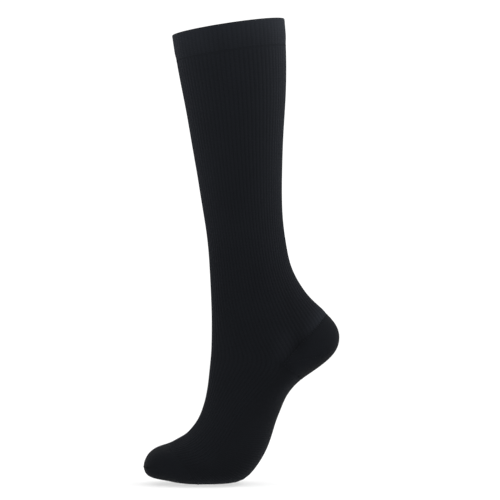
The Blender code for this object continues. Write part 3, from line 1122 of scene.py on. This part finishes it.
class STOCKING_OT_welt(Operator):
    """The turned band: two layers of cloth, rounded where they fold over at the rim"""

    bl_idname = "stocking.welt"
    bl_label = "Knit the welt"

    def execute(self, context):
        sizes = context.scene.stocking_knit
        proud, wall = sizes.welt_proud / MM, sizes.welt_wall / MM
        radius = wall / 2
        end = ALONG[ROW["band_end"]]
        coarse = np.linspace(radius, end - BAND_COARSE, BAND_ROWS)
        outside = np.concatenate([coarse, np.linspace(end - BAND_FINE, end, EDGE_ROWS)])
        fold = np.linspace(0, math.pi, FOLD_ROWS + 2)[1:-1]
        # The rows run down the outer layer, up the inner one and over the fold at the rim
        places = np.concatenate([outside, outside[::-1], radius - radius * np.sin(fold)])
        roll = eased(end - outside, 0.0, sizes.welt_roll / MM)
        lining = np.full(len(outside), wall - proud)
        rounded = wall - proud - radius + radius * np.cos(fold)
        insets = np.concatenate([-proud * roll, lining, rounded])
        points, outward, around, _ = knitted_rings(places, PLAIN_COLUMNS, calf_place, insets)
        down = np.concatenate([outside, 2 * end - outside[::-1], 2 * end - radius + fold * radius])
        down = spread(down, points.shape[1]).T
        ribbed = np.zeros_like(around)
        ribbed[: len(outside)] = eased(outside, *BAND_RISE)[:, None]
        # Painted light towards the rim, partly the knit stretched open
        cloth = Cloth(points, outward, around, down, ribbed, stretch_and_painted_light(down, 0.0))
        obj = knitted_grid("welt_cloth", cloth, True, True)
        rib_knit(obj, welt_finish(), sizes.welt_rib_height)
        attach(obj, "root")
        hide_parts("welt")
        edge = ring_join(end + BELOW_BAND, count=144, lift=-0.05, behind=calf_place)
        join = linked("welt_stitches", [edge], size=0.7)
        return {"FINISHED"}


class STOCKING_OT_leg(Operator):
    """The ribbed tube from the welt down to the ankle"""

    bl_idname = "stocking.leg"
    bl_label = "Knit the leg"

    def execute(self, context):
        sizes, tones = context.scene.stocking_knit, context.scene.stocking_tones
        places = rows_between("band_end", "corner", pitch=3.6)
        places[0] -= TUCKED
        last = places[-1]
        fine = np.linspace(last - LEG_FINE, last, FINE_ROWS)
        places = np.concatenate([places[places < last - LEG_COARSE], fine])
        insets = np.zeros(len(places))
        insets[0] = sizes.welt_tuck / MM
        points, outward, around, down = knitted_rings(places, RIBBED_COLUMNS, calf_place, insets)
        # The ribs rise out of the flat join under the welt, and flatten again at the heel pocket's
        at_pocket = beside_heel(around) * (1 - eased(last - places, *POCKET_RISE))[:, None]
        ribbed = eased(places - places[0], *LEG_RISE)[:, None] * (1 - at_pocket)
        raised = relief(points) - sunk_at_join(points, points[-1:], around, BEHIND_HEEL)
        apart = np.linalg.norm(points - points[-1:], axis=-1)
        swell = bell(apart - SWELL_APART, sizes.heel_swell / MM, SWELL_REACH)
        raised += swell * eased(from_front(around), *TO_SWELL)
        # A painted highlight on the leg's cloth over the back of the heel, just above the pocket
        heel_highlight = bell(apart, tones.heel, tones.heel_highlight_reach / MM)
        heel_highlight *= eased(from_front(around), *TO_HEEL_HIGHLIGHT)
        shown = lifted(points, outward, raised)
        # Painted light and shade with the relief and towards the rim, and painted shade from the ankle
        # down
        cloth = Cloth(shown, outward, around, down, ribbed, stretch_and_painted_light(down, raised) + heel_highlight)
        obj = knitted_grid("leg_cloth", cloth, True)
        rib_knit(obj, rib_finish(), sizes.rib_height)
        walled(obj, sizes.cloth)
        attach(obj, "root")
        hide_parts("leg")
        return {"FINISHED"}


class STOCKING_OT_heel_pocket(Operator):
    """The heel pocket: short rows that turn between its two corners"""

    bl_idname = "stocking.heel_pocket"
    bl_label = "Knit the heel pocket"

    def execute(self, context):
        sizes, tones = context.scene.stocking_knit, context.scene.stocking_tones
        # A margin at both joins lies under the leg's and the foot's cloth
        margin, wall = sizes.join_margin / MM, sizes.cloth / MM
        turns = closer_at_ends(np.linspace(0, HEEL_LENGTH, HEEL_ROWS))
        places = np.concatenate([[-margin], turns, [HEEL_LENGTH + margin]])
        insets = np.concatenate([[wall], np.zeros(len(turns)), [wall]])
        row = partial(heel_arc, count=quarter_columns(PLAIN_COLUMNS))
        points, outward = cloth_rows(row, places, insets)
        count = points.shape[1]
        # Wales run on from the leg's, and courses lie along the nearer edge of the pocket
        around = spread(np.linspace(POCKET_CORNER, 1 - POCKET_CORNER, count), len(places))
        reach = np.sin(np.linspace(0, math.pi, count))
        down = np.minimum(places, HEEL_LENGTH - places)[:, None] * reach[None, :]
        sunk = np.maximum(
            sunk_at_join(points, points[1:2], around, BEHIND_HEEL),
            sunk_at_join(points, points[-2:-1], around, UNDER_HEEL),
        )
        raised = relief(points) - sunk
        # Painted shade on the pocket's underside, and painted light and shade with its relief and joins
        low, high = (share * HEEL_LENGTH for share in HEEL_SHADE_SPAN)
        under = eased(places, low, high)[:, None] * eased(from_front(around), *TO_HEEL_BACK)
        paler = tones.light_and_shade_per_millimetre * raised - tones.sole * under
        shown = lifted(points, outward, raised)
        cloth = Cloth(shown, outward, around, down, np.zeros_like(around), paler)
        obj = knitted_grid("heel_cloth", cloth, False)
        rib_knit(obj, dense_finish(), 0.0)
        walled(obj, sizes.cloth)
        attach(obj, "root")
        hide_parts("heel_pocket")
        above = edge_join(IN_POCKET, lift=0.05, kept=BEHIND_HEEL)
        below = edge_join(HEEL_LENGTH - IN_POCKET, lift=-0.05, kept=UNDER_HEEL)
        edges = linked("heel_edge_stitches", [above, below])
        gores = linked("heel_gore_stitches", gore_joins(share=0.55), spacing=1.1, size=0.8)
        # Short rows knit it as an hourglass, which the gores close into a cup
        return {"FINISHED"}


class STOCKING_OT_foot(Operator):
    """The tube from the ankle to the toes: ribbed over the instep, plain under the sole"""

    bl_idname = "stocking.foot"
    bl_label = "Knit the foot"

    def execute(self, context):
        sizes = context.scene.stocking_knit
        places = rows_between("corner", "toe_root", pitch=3.2)
        first = places[0]
        fine = np.linspace(first, first + FOOT_FINE, FINE_ROWS)
        places = np.concatenate([fine, places[places > first + FOOT_COARSE]])
        points, outward, around, down = knitted_rings(places, RIBBED_COLUMNS, sole_place)
        # The ribs stop at the side, where the plain sole begins
        ribbed = 1 - beside_heel(around)
        ribbed *= eased(places[-1] - places, *TOE_RISE)[:, None]
        raised = relief(points) - sunk_at_join(points, points[:1], around, UNDER_HEEL)
        shown = lifted(points, outward, raised)
        # Painted light and shade with the relief, and painted shade from the ankle down and under the
        # sole
        paler = stretch_and_painted_light(down, raised) - sole_shade(around)
        cloth = Cloth(shown, outward, around, down, ribbed, paler)
        obj = knitted_grid("foot_cloth", cloth, True)
        rib_knit(obj, rib_finish(), sizes.rib_height)
        walled(obj, sizes.cloth)
        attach(obj, "root")
        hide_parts("foot")
        return {"FINISHED"}


class STOCKING_OT_toe_pocket(Operator):
    """The closed toe, whose rings flatten into the line where it is linked shut"""

    bl_idname = "stocking.toe_pocket"
    bl_label = "Knit the toe pocket"

    def execute(self, context):
        sizes, tones = context.scene.stocking_knit, context.scene.stocking_tones
        places = rows_between("toe_root", "toe_seam", pitch=1.0)
        points, outward, around, down = knitted_rings(places, PLAIN_COLUMNS, sole_place)
        raised = relief(points)
        # Painted light and shade with the relief, and painted shade under the sole that fades towards
        # the tip
        closed = sole_shade(around) * (1 - eased(places, places[0], places[-1]))[:, None]
        paler = tones.light_and_shade_per_millimetre * raised - closed
        shown = lifted(points, outward, raised)
        cloth = Cloth(shown, outward, around, down, np.zeros_like(around), paler)
        obj = knitted_grid("toe_cloth", cloth, True)
        rib_knit(obj, dense_finish(), 0.0)
        walled(obj, sizes.cloth)
        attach(obj, "root")
        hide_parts("toe_pocket")
        root = ALONG[ROW["toe_root"]]
        edge_line = ring_join(root + IN_POCKET, count=60, lift=-0.08, behind=sole_place)
        edge = linked("toe_edge_stitches", [edge_line], size=0.7)
        tip_line = tip_join(count=36, lift=0.05)
        link = linked("toe_link_stitches", [tip_line], spacing=0.8, size=0.8)
        return {"FINISHED"}


FLOOR_SIDES = 64
SENSOR = 36.0  # millimetres, Blender's own
SOFTBOX = 0.5  # side of each square light, in metres
KEY_PLACE = (0.55, 0.0, 0.35)  # beside the calf
FILL_PLACE = (-0.6, -0.25, 0.2)  # before the shin
LIT_POINT = (0.0, 0.0, -0.05)  # the upper calf, at which both lights aim
VIEW_X, VIEW_Z = 0.0212, -0.2139  # the middle of the picture, in metres from the grip


class STOCKING_OT_stage(Operator):
    """The pale floor, the soft studio light and the camera"""

    bl_idname = "stocking.stage"
    bl_label = "Set the stage"

    def execute(self, context):
        studio = context.scene.stocking_studio
        turn = np.linspace(0, 2 * math.pi, FLOOR_SIDES + 1)[:-1]
        rim = np.stack([np.cos(turn), np.sin(turn), np.zeros(FLOOR_SIDES)], axis=1)
        rim *= studio.floor_radius
        rim[:, 2] = -GRIP[2] * MM
        mesh = bpy.data.meshes.new("floor")
        mesh.from_pydata(rim.tolist(), [], [list(range(FLOOR_SIDES))])
        mesh.materials.append(table_finish())
        add_object("floor", mesh)

        world = bpy.data.worlds.new("studio")
        world.use_nodes = True
        white = {"Color": (1, 1, 1, 1), "Strength": studio.room_light}
        feed(world.node_tree, world.node_tree.nodes["Background"], white)
        context.scene.world = world
        context.scene.view_settings.view_transform = "Standard"

        for name, place, power in (
            ("key", KEY_PLACE, studio.key_power),
            ("fill", FILL_PLACE, studio.fill_power),
        ):
            light = bpy.data.lights.new(name, "AREA")
            light.shape = "SQUARE"
            light.size = SOFTBOX
            light.energy = power
            lamp = add_object(name, light)
            lamp.location = place
            lamp.rotation_mode = "QUATERNION"
            aim = Vector(LIT_POINT) - Vector(place)
            lamp.rotation_quaternion = aim.to_track_quat("-Z", "Y")

        lens = bpy.data.cameras.new("camera")
        lens.sensor_width = SENSOR
        lens.lens = SENSOR * studio.camera_distance / studio.view_width
        camera = add_object("camera", lens)
        camera.location = (VIEW_X, -studio.camera_distance, VIEW_Z)
        camera.rotation_euler = (math.pi / 2, 0, 0)
        context.scene.camera = camera
        return {"FINISHED"}


class STOCKING_PT_panel(Panel):
    """The sidebar panel that lists every piece and its sizes"""

    bl_idname = "STOCKING_PT_panel"
    bl_label = "Compression stocking"
    bl_space_type = "VIEW_3D"
    bl_region_type = "UI"
    bl_category = "Stocking"

    def draw(self, context):
        for group in GROUPS:
            held = getattr(context.scene, group)
            box = self.layout.box()
            for name in held.bl_rna.properties.keys():
                if name not in ("rna_type", "name"):
                    box.prop(held, name)
        for operator in OPERATORS:
            self.layout.operator(operator.bl_idname)


GROUPS = {
    "stocking_knit": KnitSizes,
    "stocking_stitch": StitchSizes,
    "stocking_yarn": YarnColours,
    "stocking_tones": PaintedLightTones,
    "stocking_studio": StudioSizes,
}
OPERATORS = (
    STOCKING_OT_welt,
    STOCKING_OT_leg,
    STOCKING_OT_heel_pocket,
    STOCKING_OT_foot,
    STOCKING_OT_toe_pocket,
    STOCKING_OT_stage,
)


def register():
    for cls in (*GROUPS.values(), *OPERATORS, STOCKING_PT_panel):
        bpy.utils.register_class(cls)
    for name, group in GROUPS.items():
        setattr(bpy.types.Scene, name, PointerProperty(type=group))


def unregister():
    for name in GROUPS:
        delattr(bpy.types.Scene, name)
    for cls in (STOCKING_PT_panel, *reversed(OPERATORS), *reversed(list(GROUPS.values()))):
        bpy.utils.unregister_class(cls)


def main():
    register()
    bpy.ops.stocking.welt()
    bpy.ops.stocking.leg()
    bpy.ops.stocking.heel_pocket()
    bpy.ops.stocking.foot()
    bpy.ops.stocking.toe_pocket()
    bpy.ops.stocking.stage()


if __name__ == "__main__":
    main()
